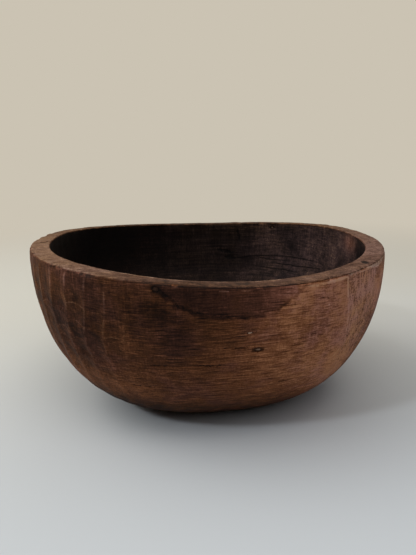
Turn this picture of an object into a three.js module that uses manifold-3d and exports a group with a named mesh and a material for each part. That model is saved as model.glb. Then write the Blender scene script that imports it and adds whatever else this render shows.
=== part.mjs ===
// A deep oval bowl carved from one block of hardwood, and the small dead knots held in its wall.
// Millimetres, +Z up, +X along the grain. The origin is the middle of the flat that the bowl stands on.

import * as THREE from 'three';
import { ParametricGeometry } from 'three/addons/geometries/ParametricGeometry.js';
import { mergeVertices } from 'three/addons/utils/BufferGeometryUtils.js';
import Module from 'manifold-3d';

// Driving dimensions of the bowl
const RIM_LENGTH = 360; // outside of the rim along the grain
const RIM_WIDTH = 324; // outside of the rim across the grain
const RIM_HEIGHT = 163; // mean height of the rim above the ground
const RIM_WALL = 17.7; // width of the flat rim
const RIM_EDGE = 2.5; // radius of the rim's two worn edges
const FLOOR_THICKNESS = 26; // wood left under the hollow
const FOOT_CUT = 6.5; // taken off the round underside to make the flat that the bowl stands on
const DRAW_IN = 8.3; // how much the wall draws in on its way up to the rim

// The rim isn't level: each wave has a rise in millimetres and the bearing of its first crest in degrees
const RIM_TILT = { turns: 1, rise: 5.7, bearing: 126 };
const RIM_SADDLE = { turns: 2, rise: 5.8, bearing: 6 };
const RIM_WOBBLE = { turns: 3, rise: 1.2, bearing: -23 };

// Powers of the rounded forms: 2 is an ellipse, and more is boxier
const PLAN_POWER = 2.45; // outline of the rim
const WALL_REACH_POWER = 3.2; // how soon the wall reaches out from the middle
const WALL_RISE_POWER = 2; // how soon the wall turns upright

// Dead knots: branches that the wood grew round without joining, all across the grain along Y.
// Each has the bearing of its place on the wall, its depth below the rim, its diameters and its length.
const KNOT_CLEARANCE = 0.3; // shrinkage gap round a dead knot
const KNOTS = [
  { name: 'front_rim_knot', skin: 'outside', bearing: -109.6, below: 4.4, head: 4.6, tip: 3, length: 9 },
  { name: 'front_upper_knot', skin: 'outside', bearing: -84.4, below: 38, head: 4.2, tip: 2.8, length: 10 },
  { name: 'front_lower_knot', skin: 'outside', bearing: -81.7, below: 53.5, head: 5.6, tip: 3.6, length: 12 },
  { name: 'back_rim_knot', skin: 'inside', bearing: 48.8, below: 6.2, head: 6, tip: 4.2, length: 9 },
];

// Fineness of the solids
const STEPS_AROUND = 72;
const STEPS_UP_OUTSIDE = 13;
const STEPS_DOWN_INSIDE = 12;
const STEPS_ON_EDGE = 3;
const KNOT_SIDES = 14;

const WOOD_COLOUR = 0x5a3c2a;
const WOOD_ROUGHNESS = 0.72;
const KNOT_COLOUR = 0x352219;
const KNOT_ROUGHNESS = 0.6;

const QUARTER_TURN = Math.PI / 2;

function rimWave(wave, angle) {
  const crest = THREE.MathUtils.degToRad(wave.bearing);
  return wave.rise * Math.cos(wave.turns * (angle - crest));
}

function rimHeight(angle) {
  return RIM_HEIGHT + rimWave(RIM_TILT, angle) + rimWave(RIM_SADDLE, angle) + rimWave(RIM_WOBBLE, angle);
}

// Distance from the middle to the outside of the rim: a slightly boxy oval
function outerRim(angle) {
  const along = Math.abs(Math.cos(angle) / (RIM_LENGTH / 2)) ** PLAN_POWER;
  const across = Math.abs(Math.sin(angle) / (RIM_WIDTH / 2)) ** PLAN_POWER;
  return (along + across) ** (-1 / PLAN_POWER);
}

// The inside of the rim lies one wall further in, measured square to the outline
function innerRim(angle) {
  const step = 1e-4;
  const slope = (outerRim(angle + step) - outerRim(angle - step)) / (2 * step);
  const radius = outerRim(angle);
  return radius - RIM_WALL * Math.hypot(1, slope / radius);
}

// The two skins of the wall: where each meets the rim, and how far it would fall to its lowest point
const SKINS = {
  outside: { rim: outerRim, depth: (angle) => rimHeight(angle) + FOOT_CUT },
  inside: { rim: innerRim, depth: (angle) => rimHeight(angle) - FLOOR_THICKNESS },
};

// A point of a skin, from its lowest point at turn 0 to the rim at turn 1, as a radius and a height
function wallPoint(skin, angle, turn) {
  const reach = Math.sin(turn * QUARTER_TURN) ** (2 / WALL_REACH_POWER);
  const drop = turn < 1 ? Math.cos(turn * QUARTER_TURN) ** (2 / WALL_RISE_POWER) : 0;
  return {
    radius: reach * (skin.rim(angle) + DRAW_IN * drop),
    height: rimHeight(angle) - skin.depth(angle) * drop,
  };
}

// The turn at which a skin is a given distance below the rim
function turnBelow(skin, angle, below) {
  const drop = below / skin.depth(angle);
  return Math.acos(drop ** (WALL_RISE_POWER / 2)) / QUARTER_TURN;
}

// A worn edge of the rim: the inner points of a quarter circle that begins at the start angle
function edgeArc(centreRadius, centreHeight, start) {
  const points = [];
  for (let i = 1; i <= STEPS_ON_EDGE; i += 1) {
    const angle = start + (QUARTER_TURN * i) / (STEPS_ON_EDGE + 1);
    points.push({
      radius: centreRadius + RIM_EDGE * Math.cos(angle),
      height: centreHeight + RIM_EDGE * Math.sin(angle),
    });
  }
  return points;
}

// The wall cut at one bearing: from the middle of the base, up the outside, over the rim, down the inside
function section(angle) {
  const { outside, inside } = SKINS;
  const top = rimHeight(angle);
  const points = [{ radius: 0, height: 0 }];
  const ground = turnBelow(outside, angle, top);
  const outerEdge = turnBelow(outside, angle, RIM_EDGE);
  for (let i = 0; i <= STEPS_UP_OUTSIDE; i += 1) {
    const turn = ground + ((outerEdge - ground) * i) / STEPS_UP_OUTSIDE;
    points.push(wallPoint(outside, angle, turn));
  }
  points[1].height = 0;
  points.push(...edgeArc(outerRim(angle) - RIM_EDGE, top - RIM_EDGE, 0));
  points.push({ radius: outerRim(angle) - RIM_EDGE, height: top });
  points.push({ radius: innerRim(angle) + RIM_EDGE, height: top });
  points.push(...edgeArc(innerRim(angle) + RIM_EDGE, top - RIM_EDGE, QUARTER_TURN));
  const innerEdge = turnBelow(inside, angle, RIM_EDGE);
  for (let i = STEPS_DOWN_INSIDE; i > 0; i -= 1) {
    points.push(wallPoint(inside, angle, (innerEdge * i) / STEPS_DOWN_INSIDE));
  }
  points.push({ radius: 0, height: FLOOR_THICKNESS });
  return points;
}

function bowlGeometry() {
  const sections = [];
  for (let i = 0; i < STEPS_AROUND; i += 1) {
    sections.push(section((2 * Math.PI * i) / STEPS_AROUND));
  }
  const stacks = sections[0].length - 1;
  const place = (around, along, target) => {
    const slice = Math.round(around * STEPS_AROUND) % STEPS_AROUND;
    const angle = (2 * Math.PI * slice) / STEPS_AROUND;
    const { radius, height } = sections[slice][Math.round(along * stacks)];
    target.set(radius * Math.cos(angle), radius * Math.sin(angle), height);
  };
  return new ParametricGeometry(place, STEPS_AROUND, stacks);
}

// A tapered plug along Y, its tip inside the wall and its head standing out of it
function plugGeometry(knot, clearance) {
  const taper = (knot.head - knot.tip) / 2 / knot.length;
  const overhang = knot.head;
  const headRadius = knot.head / 2 + taper * overhang + clearance;
  const tipRadius = knot.tip / 2 + clearance;
  const tipPlace = knot.length + clearance;
  return new THREE.LatheGeometry([
    new THREE.Vector2(0, -overhang),
    new THREE.Vector2(headRadius, -overhang),
    new THREE.Vector2(tipRadius, tipPlace),
    new THREE.Vector2(0, tipPlace),
  ], KNOT_SIDES);
}

function knotPlace(knot) {
  const angle = THREE.MathUtils.degToRad(knot.bearing);
  const skin = SKINS[knot.skin];
  const { radius, height } = wallPoint(skin, angle, turnBelow(skin, angle, knot.below));
  return new THREE.Vector3(radius * Math.cos(angle), radius * Math.sin(angle), height);
}

const wasm = await Module();
wasm.setup();

function toSolid(geometry) {
  const bare = geometry.clone();
  bare.deleteAttribute('normal');
  bare.deleteAttribute('uv');
  const merged = mergeVertices(bare);
  const corners = merged.index.array;
  const triangles = [];
  for (let i = 0; i < corners.length; i += 3) {
    const [a, b, c] = corners.slice(i, i + 3);
    if (a !== b && b !== c && c !== a) triangles.push(a, b, c);
  }
  return new wasm.Manifold(new wasm.Mesh({
    numProp: 3,
    vertProperties: new Float32Array(merged.attributes.position.array),
    triVerts: new Uint32Array(triangles),
  }));
}

function toGeometry(solid) {
  const { vertProperties, triVerts } = solid.getMesh();
  const geometry = new THREE.BufferGeometry();
  geometry.setAttribute('position', new THREE.BufferAttribute(vertProperties, 3));
  geometry.setIndex(new THREE.BufferAttribute(triVerts, 1));
  geometry.computeVertexNormals();
  return geometry;
}

function addPiece(group, name, solid, colour, roughness) {
  const material = new THREE.MeshStandardMaterial({ color: colour, roughness, metalness: 0 });
  const mesh = new THREE.Mesh(toGeometry(solid), material);
  mesh.name = name;
  group.add(mesh);
}

// A knot is cut flush by the wall that holds it, and its socket is the same plug with the clearance
function buildBowl() {
  const group = new THREE.Group();
  const block = toSolid(bowlGeometry());
  let bowl = block;
  for (const knot of KNOTS) {
    const place = knotPlace(knot);
    const plug = toSolid(plugGeometry(knot, 0).translate(place.x, place.y, place.z));
    const socket = toSolid(plugGeometry(knot, KNOT_CLEARANCE).translate(place.x, place.y, place.z));
    addPiece(group, knot.name, plug.intersect(block), KNOT_COLOUR, KNOT_ROUGHNESS);
    bowl = bowl.subtract(socket);
  }
  addPiece(group, 'bowl', bowl, WOOD_COLOUR, WOOD_ROUGHNESS);
  return group;
}

export default buildBowl();
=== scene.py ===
"""Looks of a carved wooden bowl: its wall and knots, the wood, a plain pale floor, light and a camera.
Metres, +Z up, +X along the grain."""

import itertools
import math

import bpy
import numpy as np
from mathutils import Matrix, Vector


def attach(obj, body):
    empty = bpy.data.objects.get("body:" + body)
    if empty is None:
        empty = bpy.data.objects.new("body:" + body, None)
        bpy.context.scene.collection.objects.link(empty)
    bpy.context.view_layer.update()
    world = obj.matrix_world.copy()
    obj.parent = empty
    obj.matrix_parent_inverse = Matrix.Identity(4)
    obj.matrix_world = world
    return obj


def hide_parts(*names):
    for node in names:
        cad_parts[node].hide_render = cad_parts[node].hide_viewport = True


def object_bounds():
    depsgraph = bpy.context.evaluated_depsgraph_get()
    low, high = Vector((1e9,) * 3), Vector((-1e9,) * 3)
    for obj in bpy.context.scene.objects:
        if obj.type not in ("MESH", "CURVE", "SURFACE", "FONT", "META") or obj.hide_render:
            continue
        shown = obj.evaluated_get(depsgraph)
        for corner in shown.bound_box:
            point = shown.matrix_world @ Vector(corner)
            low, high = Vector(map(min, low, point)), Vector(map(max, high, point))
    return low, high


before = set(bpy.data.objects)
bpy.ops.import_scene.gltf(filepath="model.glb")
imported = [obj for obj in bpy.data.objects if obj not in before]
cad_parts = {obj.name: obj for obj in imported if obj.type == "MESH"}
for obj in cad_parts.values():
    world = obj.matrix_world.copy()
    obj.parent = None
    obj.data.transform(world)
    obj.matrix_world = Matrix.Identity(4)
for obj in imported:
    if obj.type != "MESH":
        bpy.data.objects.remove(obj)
cad_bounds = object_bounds()

TURN = 2 * math.pi
QUARTER_TURN = math.pi / 2
MM = 0.001

# Driving sizes of the bowl, the same as its solid has, but for the rim's edges, which are crisper here
RIM_LENGTH = 0.360
RIM_WIDTH = 0.324
RIM_HEIGHT = 0.163
RIM_WALL = 0.0177
RIM_EDGE = 0.0014
FLOOR_THICKNESS = 0.026
FOOT_CUT = 0.0065
DRAW_IN = 0.0083
PLAN_POWER = 2.45
WALL_REACH_POWER = 3.2
RIM_WAVES = ((1, 0.0057, 126), (2, 0.0058, 6), (3, 0.0012, -23))

# Dead knots: node, skin, bearing in degrees, depth below the rim, half length and height, slant, paleness
KNOTS = (
    ("front_rim_knot", "outside", -109.6, 0.0044, 0.0023, 0.0019, 0, 0.06),
    ("front_upper_knot", "outside", -84.4, 0.038, 0.0028, 0.0011, 12, 1.0),
    ("front_lower_knot", "outside", -81.7, 0.0535, 0.0038, 0.0017, 0, 0.6),
    # The back rim knot's pale core is a painted glint on its head
    ("back_rim_knot", "inside", 48.8, 0.0062, 0.0030, 0.0020, 0, 0.5),
)

# Fineness of the carved mesh, with more columns and rows where the detail is small
COLUMNS = 560
OUTSIDE_ROWS = 86
INSIDE_ROWS = 46
RIM_ROWS = 9
EDGE_ROWS = 6
BASE_ROWS = 5
CLOSE_BEARINGS = ((-205, -118, 2.0), (-118, -60, 2.6), (-60, -38, 2.2))
CLOSE_OUTSIDE = ((0.62, 1.0, 1.7),)
CLOSE_INSIDE = ((0.70, 1.0, 1.6),)
FINE_STEPS = 4000
SEAM_BEARING = 90
RIM_ZONES = ("outer_edge", "rim", "inner_edge")
BAKE_MARGIN = 0.02

# Seeds of the noises
SEEDS = {
    "outside": 3, "outside_bumps": 11, "inside": 31, "inside_bumps": 41, "ribs": 21, "dips": 51,
    "rim_grain": 52, "chips": 61, "wear": 63, "jags": 71, "knots": 80,
}

# Camera, found by fitting the rim and the outline
CAMERA_BEARING = -96
CAMERA_DISTANCE = 0.4668
CAMERA_HEIGHT = 0.2366
CAMERA_YAW = 6.063
CAMERA_PITCH = 14.147
CAMERA_ROLL = -1.053
FOCAL_PIXELS = 420
PICTURE_HEIGHT = 555
SENSOR = 36
NEAREST_SEEN = 0.01


# Form of the bowl


def rim_height(angle):
    waves = (rise * np.cos(turns * (angle - math.radians(crest))) for turns, rise, crest in RIM_WAVES)
    return RIM_HEIGHT + sum(waves)


def outer_rim(angle):
    along = np.abs(np.cos(angle) / (RIM_LENGTH / 2)) ** PLAN_POWER
    across = np.abs(np.sin(angle) / (RIM_WIDTH / 2)) ** PLAN_POWER
    return (along + across) ** (-1 / PLAN_POWER)


def inner_rim(angle):
    step = 1e-4
    slope = (outer_rim(angle + step) - outer_rim(angle - step)) / (2 * step)
    radius = outer_rim(angle)
    return radius - RIM_WALL * np.hypot(1, slope / radius)


def outside_depth(angle):
    return rim_height(angle) + FOOT_CUT


def inside_depth(angle):
    return rim_height(angle) - FLOOR_THICKNESS


SKINS = {"outside": (outer_rim, outside_depth), "inside": (inner_rim, inside_depth)}


def wall_point(skin, angle, turn):
    """Radius and height on a skin, from its lowest point at turn 0 to the rim at turn 1."""
    rim, depth = SKINS[skin]
    reach = np.sin(turn * QUARTER_TURN) ** (2 / WALL_REACH_POWER)
    drop = np.cos(turn * QUARTER_TURN)
    return reach * (rim(angle) + DRAW_IN * drop), rim_height(angle) - depth(angle) * drop


def turn_below(skin, angle, below):
    depth = SKINS[skin][1](angle)
    return np.arccos(below / depth) / QUARTER_TURN


def place_on(skin, bearing, below):
    """Point of a skin at a bearing and a depth below the rim, or of the rim at a distance from its edge."""
    angle = math.radians(bearing)
    if skin == "rim":
        radius, height = outer_rim(angle) - below, rim_height(angle)
    else:
        radius, height = wall_point(skin, angle, turn_below(skin, angle, below))
    return np.array((radius * math.cos(angle), radius * math.sin(angle), height))


# Noise and soft masks


def cell_noise(cells, seed):
    """Repeatable values from -1 to 1 for whole-number cells of 3 coordinates."""
    key = cells[..., 0] * 73856093 ^ cells[..., 1] * 19349663 ^ cells[..., 2] * 83492791 ^ seed * 2654435761
    key = (key ^ (key >> 13)) * 1274126177 & 0xFFFFFFFF
    key = (key ^ (key >> 16)) * 2246822519 & 0xFFFFFFFF
    return ((key >> 8) & 0xFFFF) / 32767.5 - 1


def smooth_noise(points, seed):
    """Smooth noise from -1 to 1, one bump per unit of length."""
    cells = np.floor(points).astype(np.int64)
    part = points - cells
    part = part * part * (3 - 2 * part)
    total = np.zeros(points.shape[:-1])
    for corner in itertools.product((0, 1), repeat=3):
        weight = np.prod(np.where(corner, part, 1 - part), axis=-1)
        total += weight * cell_noise(cells + np.array(corner), seed)
    return total


def vectors(first, second=0.0, third=0.0):
    return np.stack(np.broadcast_arrays(first, second, third), axis=-1)


def layered_noise(points, seed, octaves=3):
    total = np.zeros(points.shape[:-1])
    for octave in range(octaves):
        total += smooth_noise(points * 2**octave, seed + octave) / 2**octave
    return total / (2 - 2 ** (1 - octaves))


def ease(value, low, high):
    """Soft step from 0 at low to 1 at high."""
    share = np.clip((value - low) / (high - low), 0, 1)
    return share * share * (3 - 2 * share)


def bell(value, spread):
    return np.exp(-((value / spread) ** 2))


def around(angle, centre, half, soft):
    """Soft mask of the bearings within half of a centre, in degrees."""
    away = np.abs((np.degrees(angle) - centre + 180) % 360 - 180)
    return 1 - ease(away, half - soft / 2, half + soft / 2)


def spaced(count, close):
    """Places from 0 to 1, closer together in each stretch (start, end, times as close)."""
    fine = np.linspace(0, 1, FINE_STEPS + 1)
    density = np.ones(FINE_STEPS)
    for start, end, times in close:
        density[(fine[:-1] >= start) & (fine[:-1] < end)] *= times
    total = np.concatenate(((0,), np.cumsum(density)))
    return np.interp(np.linspace(0, total[-1], count + 1), total, fine)


# The carved mesh


def seam_share(bearing):
    """Share of the way round from the seam of the mesh."""
    return (bearing - SEAM_BEARING) % 360 / 360


class Grid:
    """The bowl's skin: columns round it, and rows up the outside, over the rim and down the inside."""

    def __init__(self):
        stretches = [(seam_share(low), seam_share(high), times) for low, high, times in CLOSE_BEARINGS]
        self.angle = spaced(COLUMNS, stretches)[:-1] * TURN + math.radians(SEAM_BEARING)
        self.rows = []
        self.zones = []
        self.add_rows()
        self.radius = np.array([radius for radius, _ in self.rows])
        self.height = np.array([height for _, height in self.rows])
        self.zone = np.array(self.zones)[:, None]
        angle = self.angle[None, :]
        self.bearing = (np.degrees(angle) + 180) % 360 - 180
        self.points = vectors(self.radius * np.cos(angle), self.radius * np.sin(angle), self.height)
        self.below = rim_height(angle) - self.height
        self.measure()

    def add(self, zone, radius, height):
        self.rows.append((radius, height + 0 * radius))
        self.zones.append(zone)

    def add_edge(self, zone, centre, start):
        top = rim_height(self.angle)
        for step in range(1, EDGE_ROWS + 1):
            turn = start + QUARTER_TURN * step / (EDGE_ROWS + 1)
            self.add(zone, centre + RIM_EDGE * math.cos(turn), top - RIM_EDGE + RIM_EDGE * math.sin(turn))

    def add_rows(self):
        angle = self.angle
        top = rim_height(angle)
        ground = turn_below("outside", angle, top)
        outer_edge = turn_below("outside", angle, RIM_EDGE)
        inner_edge = turn_below("inside", angle, RIM_EDGE)
        base_radius = wall_point("outside", angle, ground)[0]
        for step in range(1, BASE_ROWS):
            self.add("base", base_radius * step / BASE_ROWS, 0.0)
        for share in spaced(OUTSIDE_ROWS, CLOSE_OUTSIDE):
            self.add("outside", *wall_point("outside", angle, ground + (outer_edge - ground) * share))
        self.add_edge("outer_edge", outer_rim(angle) - RIM_EDGE, 0)
        for share in np.linspace(0, 1, RIM_ROWS):
            outer, inner = outer_rim(angle) - RIM_EDGE, inner_rim(angle) + RIM_EDGE
            self.add("rim", outer + (inner - outer) * share, top)
        self.add_edge("inner_edge", inner_rim(angle) + RIM_EDGE, QUARTER_TURN)
        for share in spaced(INSIDE_ROWS, CLOSE_INSIDE)[:0:-1]:
            self.add("inside", *wall_point("inside", angle, inner_edge * share))

    def measure(self):
        """Lengths along the rim and along the section, and the normals."""
        rim = outer_rim(self.angle)
        rim_points = np.stack((rim * np.cos(self.angle), rim * np.sin(self.angle)), axis=-1)
        steps = np.linalg.norm(np.roll(rim_points, -1, axis=0) - rim_points, axis=-1)
        self.girth = steps.sum()
        self.arc = (np.cumsum(steps) - steps)[None, :]
        section = np.hypot(np.diff(self.radius, axis=0), np.diff(self.height, axis=0))
        self.run = np.concatenate((np.zeros((1, COLUMNS)), np.cumsum(section, axis=0)))
        top_row = self.zones.index("rim")
        last_row = len(self.zones) - 1 - self.zones[::-1].index("rim")
        self.down_outside = self.run[top_row] - self.run
        self.down_inside = self.run - self.run[last_row]
        self.normals = self.surface_normals(self.points)

    @staticmethod
    def surface_normals(points):
        along = np.roll(points, -1, axis=1) - np.roll(points, 1, axis=1)
        up = np.gradient(points, axis=0)
        normal = np.cross(along, up)
        return normal / np.linalg.norm(normal, axis=-1, keepdims=True)

    def edge_run(self, zone):
        """Length along the section at the middle of a rounded edge."""
        return self.run[self.zones.index(zone) + EDGE_ROWS // 2]

    def is_zone(self, *names):
        return np.isin(self.zone, names).astype(float)


# Carving: each function gives the depth of wood taken away, in metres

# Gouge strokes in lanes down each skin: their sizes, where they begin and fade, and the bumps under them
GOUGES = {
    "outside": {
        "width": 0.0186, "length": 0.0165, "first": 0.032, "depth": 0.0019,
        "begin": (0.002, 0.008), "fade": (0.085, 0.14), "fade_share": 0.7, "bump": 0.06,
    },
    "inside": {
        "width": 0.024, "length": 0.045, "first": 0.0225, "depth": 0.0008,
        "begin": (0.0015, 0.01), "fade": (0.12, 0.2), "fade_share": 0.6, "bump": 0.05,
    },
}
GOUGE_MEAN = 0.4
GOUGE_NEAR_BASE = (0.0, 0.02)
UNEVENNESS = 0.0006
INSIDE_FACETS = 0.5

# Outside the lanes lean, and the ridges between them are pale near the rim, worn and with a painted
# highlight, but not at the mesh's seam
GOUGE_LEAN = 0.09
GOUGE_START_BEARING = 219.7
PALE_RIDGES_FADE = (0.045, 0.08)
SEAM_GAP = (4, 2)

# Strength of the strokes all round, and its change at some places: bearing, half width, softness and change
GOUGE_STRENGTH = 0.30
GOUGE_PLACES = ((195, 44, 12, 0.70), (95, 60, 40, 0.30), (-88, 34, 14, -0.22))

# One stroke: its arched start, how uneven it is, and how its depth changes along it and from stroke to stroke
STROKE_ARCH = 0.0035
STROKE_START_SPREAD = 0.005
STROKE_UNEVENNESS = 0.0022
STROKE_BUMP = 0.014
STROKE_DEEPENS = 0.5
STROKE_DEEPEST = 0.9
STROKE_SPREAD = 0.3
LANE_WAVERS = ((0.16, 0.035), (0.07, 0.013))


def gouge_strokes(grid, arc, down, gouge, seed):
    """Lanes of gouge strokes: each stroke's hollow, its lane, its place along the lane and its bite."""
    count = round(grid.girth / gouge["width"])
    lane = arc / grid.girth * count
    for number, (share, bump) in enumerate(LANE_WAVERS):
        lane = lane + share * smooth_noise(grid.points / bump, seed + 4 * number)
    column = np.floor(lane)
    across = 2 * (lane - column) - 1
    column = column % count
    start = gouge["first"] + STROKE_START_SPREAD * cell_noise(vectors(column).astype(np.int64), seed + 1)
    uneven = STROKE_UNEVENNESS * layered_noise(grid.points / STROKE_BUMP, seed + 3)
    place = (down - start - STROKE_ARCH * across**2 + uneven) / gouge["length"]
    stroke = np.maximum(np.floor(place), -1)
    bite = cell_noise(vectors(column, stroke).astype(np.int64), seed + 2)
    along = ease(np.clip(place - stroke, 0, 1), 0, STROKE_DEEPEST)
    depth = (1 - STROKE_DEEPENS * (1 - along)) * (1 - STROKE_SPREAD * (1 - bite))
    return (1 - across**2) * depth, lane, place, bite


def by_place(angle, places):
    """Sum of soft masks round the bowl, each a bearing, half width, softness and amount."""
    return sum(amount * around(angle, centre, half, soft) for centre, half, soft, amount in places)


def carve_skin(grid, skin, arc, down, strength):
    """Gouge strokes and unevenness on a skin, and the masks of them that the wood reads."""
    gouge = GOUGES[skin]
    on_wall = grid.is_zone(skin) * ease(down, *gouge["begin"]) * ease(grid.height, *GOUGE_NEAR_BASE)
    strokes, lane, place, bite = gouge_strokes(grid, arc, down, gouge, SEEDS[skin])
    share = on_wall * strength * (1 - gouge["fade_share"] * ease(down, *gouge["fade"]))
    uneven = layered_noise(grid.points / gouge["bump"], SEEDS[skin + "_bumps"])
    depth = (strokes - GOUGE_MEAN) * share * gouge["depth"] + uneven * UNEVENNESS * on_wall
    return depth, {
        "hollow": strokes * share, "facets": bite * share, "lane": lane, "stroke": place, "carved": share,
    }


def carve_outside(grid):
    angle = grid.angle[None, :]
    down = grid.down_outside
    start = np.interp(math.radians(GOUGE_START_BEARING) % TURN, grid.angle % TURN, grid.arc[0], period=TURN)
    arc = grid.arc - start + GOUGE_LEAN * down
    strength = np.clip(GOUGE_STRENGTH + by_place(angle, GOUGE_PLACES), 0, 1)
    depth, masks = carve_skin(grid, "outside", arc, down, strength)
    away_from_seam = 1 - around(angle, SEAM_BEARING, *SEAM_GAP)
    masks["carved"] = masks["carved"] * away_from_seam * (1 - ease(down, *PALE_RIDGES_FADE))
    return depth, masks


# The flat cut into the right end: its arched lip, the ridge at its front, where it ends, and ribs across it
LIP_TOP = 0.0016
LIP_ARCH = 0.0075
LIP_BEARING = -50.5
LIP_SPREAD = 13.5
LIP_ENDS = (-1, 1.3)
LIP_STEP = 0.0016
RIDGE_BEARING = -55.1
RIDGE_LEAN = 2.9
RIDGE_BENDS = (0.012, 0.055)
RIDGE_STEP = 0.9
FLAT_END = (-40.5, -37)
FLAT_FADE = (0.055, 0.11)
FLAT_DEPTH = 0.0009
RIB_DEPTH = 0.0005
RIB_WIDTH = 0.0045
RIB_LENGTH = 0.05


def lip_depth(bearing):
    """How far below the rim the flat cut into the right end begins."""
    return LIP_TOP + LIP_ARCH * np.clip((bearing - LIP_BEARING) / LIP_SPREAD, *LIP_ENDS) ** 2


def carve_right_end(grid):
    """The flat cut into the right end, below a lip along the rim and behind a sharp ridge at its front."""
    bearing, below = grid.bearing, grid.below
    ridge = RIDGE_BEARING + RIDGE_LEAN * ease(below, *RIDGE_BENDS)
    lip = lip_depth(bearing)
    across = ease(bearing, ridge, ridge + RIDGE_STEP) * (1 - ease(bearing, *FLAT_END))
    down = ease(below, lip, lip + LIP_STEP) * (1 - ease(below, *FLAT_FADE))
    cut = across * down * grid.is_zone("outside")
    ribs = smooth_noise(vectors(grid.arc / RIB_WIDTH, below / RIB_LENGTH), SEEDS["ribs"])
    return cut * (FLAT_DEPTH + RIB_DEPTH * (1 - np.abs(ribs))), cut


# The rim: dips and grain in its flat, wear of its outer edge, and chips out of that edge
RIM_DIP = 0.0004
RIM_DIP_BUMP = 0.03
RIM_GRAIN = 0.00018
RIM_GRAIN_BUMP = np.array((0.03, 0.0028, 0.0028))
EDGE_WEAR = 0.0004
EDGE_WEAR_REACH = 0.002
CHIP_LENGTH = 0.011
CHIP_DEPTH = 0.0011
CHIP_REACH = 0.0022
CHIP_COLOUR_REACH = 0.0025
CHIP_NOISE = 1.7
CHIP_LEVELS = (0.95, 1.25)

# How often it is chipped all round, and how much more at some places, as for the gouge strokes
CHIP_SHARE = 0.08
CHIP_PLACES = ((-150, 45, 30, 0.50), (-90, 60, 40, 0.18))


def carve_rim(grid):
    """Dips along the flat of the rim, worn edges, and chips out of the outer edge."""
    dips = RIM_DIP * layered_noise(grid.points / RIM_DIP_BUMP, SEEDS["dips"])
    grain = RIM_GRAIN * smooth_noise(grid.points / RIM_GRAIN_BUMP, SEEDS["rim_grain"])
    flat = (dips + grain) * grid.is_zone(*RIM_ZONES)
    row = vectors(grid.arc / CHIP_LENGTH)
    chance = CHIP_NOISE * layered_noise(row, SEEDS["chips"], octaves=4)
    chance = chance + CHIP_SHARE + by_place(grid.angle[None, :], CHIP_PLACES)
    chip = ease(chance, *CHIP_LEVELS)
    away = np.abs(grid.run - grid.edge_run("outer_edge"))
    wear = EDGE_WEAR * bell(away, EDGE_WEAR_REACH) * (1 + smooth_noise(row, SEEDS["wear"]))
    return flat + CHIP_DEPTH * chip * bell(away, CHIP_REACH) + wear, chip * bell(away, CHIP_COLOUR_REACH)


FAR = 8.0
SOCKET_DEPTH = 0.0008
SOCKET_EDGE = (0.9, 1.7)
PALE_KNOT_GAP = 0.6


def carve_knots(grid):
    """A shallow socket round each knot, and the distance to a knot in its half sizes, more by a pale one."""
    depth = 0
    nearest = FAR
    for _, skin, bearing, below, half_long, half_high, _, paleness in KNOTS:
        away = grid.points - place_on(skin, bearing, below)
        away = np.hypot(np.hypot(away[..., 0], away[..., 1]) / half_long, away[..., 2] / half_high)
        depth = depth + SOCKET_DEPTH * (1 - ease(away, *SOCKET_EDGE))
        nearest = np.minimum(nearest, away + PALE_KNOT_GAP * paleness**4)
    return depth, nearest


# Cracks and dark lines by skin: half width, and the bearing and depth below the rim of each point
CRACKS = {
    "outside": (
        (0.0008, ((-109.2, 0.004), (-106.4, 0.01), (-104.2, 0.0156), (-101.5, 0.0193), (-97.7, 0.0208))),
        (0.0006, ((-99, 0.0208), (-93.7, 0.0224), (-88.7, 0.0256), (-84.5, 0.025))),
        (0.0009, ((-91.5, 0.0507), (-88, 0.0509), (-84.5, 0.0514))),
        (0.0007, ((-99, 0.0677), (-95, 0.0681), (-91.5, 0.0678))),
        (0.0007, ((-113, 0.0718), (-110, 0.0705), (-107.8, 0.0698))),
        (0.0007, ((-121, 0.0982), (-117.5, 0.0975), (-114, 0.0959))),
        (0.0006, ((-87.6, 0.0778), (-83.5, 0.0786))),
        (0.0007, ((-65.7, 0.0144), (-61.5, 0.0167))),
        (0.0007, ((-82.9, 0.037), (-82.3, 0.0368))),
        (0.0009, ((84, 0.002), (86, 0.016), (85, 0.03), (87.5, 0.042))),
        (0.0007, ((104, 0.061), (110, 0.0625), (116, 0.0615))),
        (0.0007, ((62, 0.088), (69, 0.089), (75, 0.0882))),
        (0.0007, ((92, 0.073), (98, 0.0738))),
        (0.0008, ((8, 0.002), (7, 0.019), (8.5, 0.033))),
    ),
    "rim": (
        (0.0019, ((-168, 0.006), (-168.8, 0.0112), (-169.5, 0.0168))),
    ),
    "inside": (
        (0.0021, ((77.6, 0.0372), (73, 0.0403), (68.5, 0.0434))),
        (0.0017, ((73.5, 0.0485), (68, 0.05))),
        (0.0016, ((66.8, 0.0098), (65.4, 0.0245))),
    ),
}
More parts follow.
